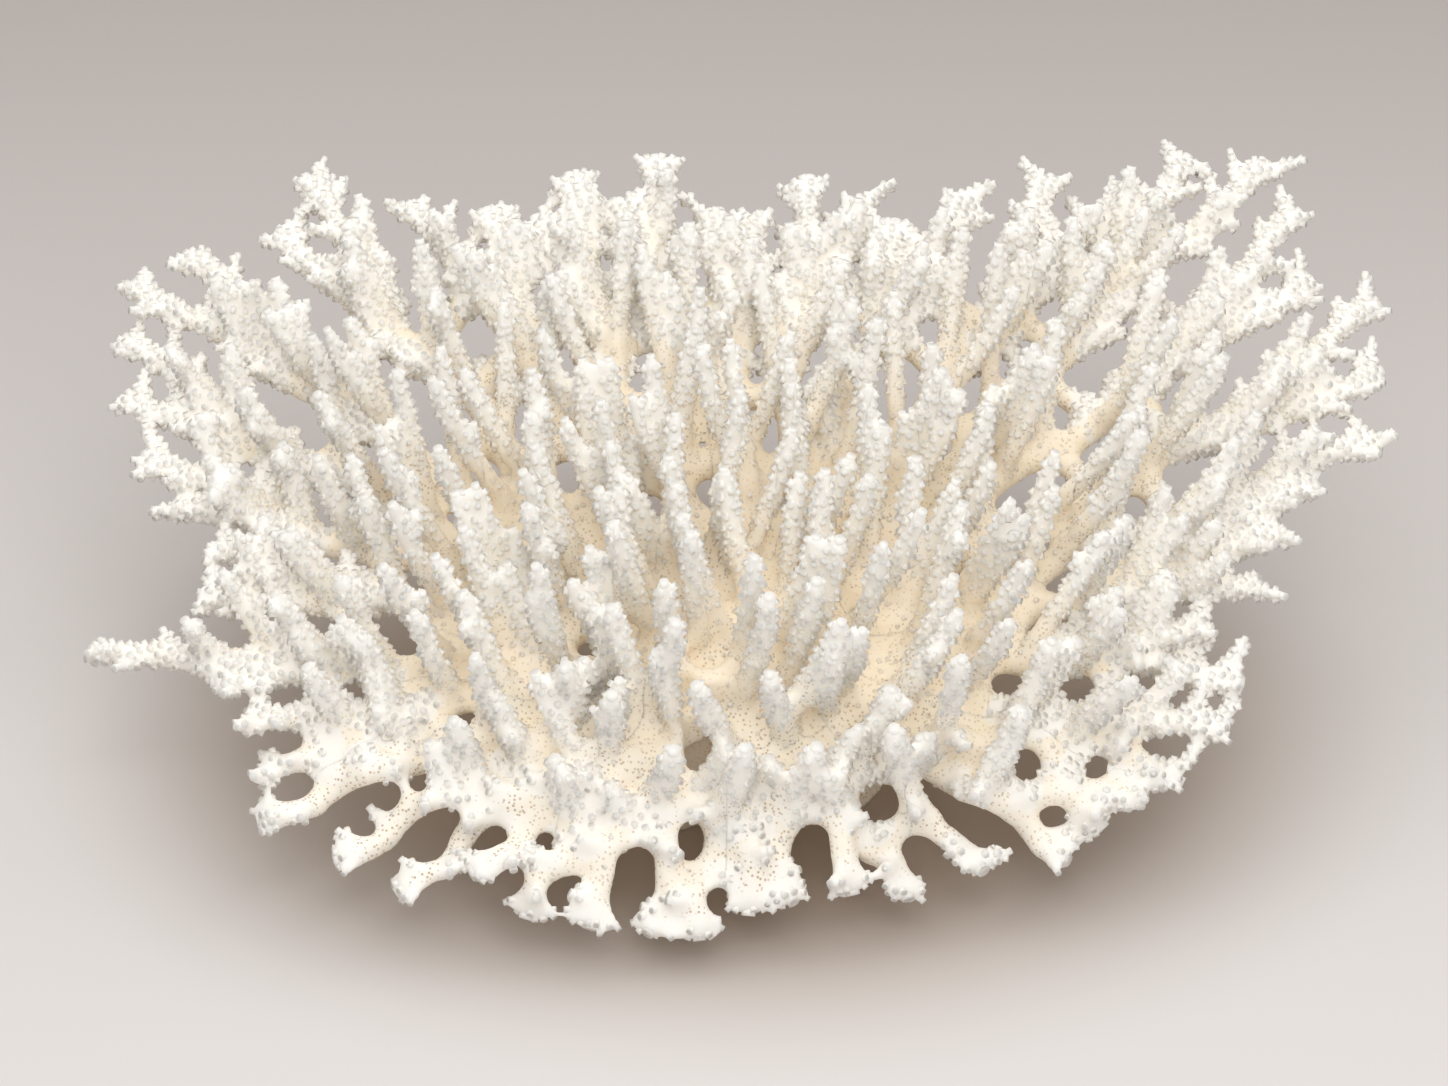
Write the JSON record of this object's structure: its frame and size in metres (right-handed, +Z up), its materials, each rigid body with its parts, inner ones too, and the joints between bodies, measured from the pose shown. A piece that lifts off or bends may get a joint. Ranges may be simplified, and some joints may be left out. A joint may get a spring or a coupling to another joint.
{
  "type": "branching coral",
  "caption": "Bleached table coral colony on a short cut stalk, with boughs that fan out from its crown, fork into limbs and carry upright fingers.",
  "frame": {"origin": "centre of the flat cut under the stalk, at the level that the colony rests on", "axes": "+Z up, out of the cut; +X along the colony's longest side, to the right as seen from the front; +Y towards the back, where the branches are highest"},
  "size_m": [0.3606, 0.2334, 0.1213],
  "materials": {
    "branch_coral": "chalky bleached white, warmer towards the base, rough",
    "stalk_coral": "cream, porous and rough"
  },
  "bodies": {
    "root": {"back_bough_1": "branch_coral", "back_bough_1_limb_1": "branch_coral", "back_bough_1_limb_2": "branch_coral", "back_bough_2": "branch_coral", "back_bough_2_limb_1": "branch_coral", "back_bough_2_limb_2": "branch_coral", "back_left_bough_1": "branch_coral", "back_left_bough_1_limb_1": "branch_coral", "back_left_bough_1_limb_2": "branch_coral", "back_left_bough_2": "branch_coral", "back_left_bough_2_limb_1": "branch_coral", "back_left_bough_2_limb_2": "branch_coral", "back_right_bough_1": "branch_coral", "back_right_bough_1_limb_1": "branch_coral", "back_right_bough_1_limb_2": "branch_coral", "back_right_bough_1_limb_3": "branch_coral", "back_right_bough_2": "branch_coral", "back_right_bough_2_limb_1": "branch_coral", "back_right_bough_2_limb_2": "branch_coral", "front_bough_1": "branch_coral", "front_bough_2": "branch_coral", "front_left_bough": "branch_coral", "front_right_bough": "branch_coral", "left_bough_1": "branch_coral", "left_bough_1_limb_1": "branch_coral", "left_bough_1_limb_2": "branch_coral", "left_bough_2": "branch_coral", "left_bough_2_limb_1": "branch_coral", "left_bough_2_limb_2": "branch_coral", "right_bough_1": "branch_coral", "right_bough_1_limb_1": "branch_coral", "right_bough_1_limb_2": "branch_coral", "right_bough_2": "branch_coral", "right_bough_2_limb_1": "branch_coral", "right_bough_2_limb_2": "branch_coral", "stem": "stalk_coral"}
  },
  "joints": []
}
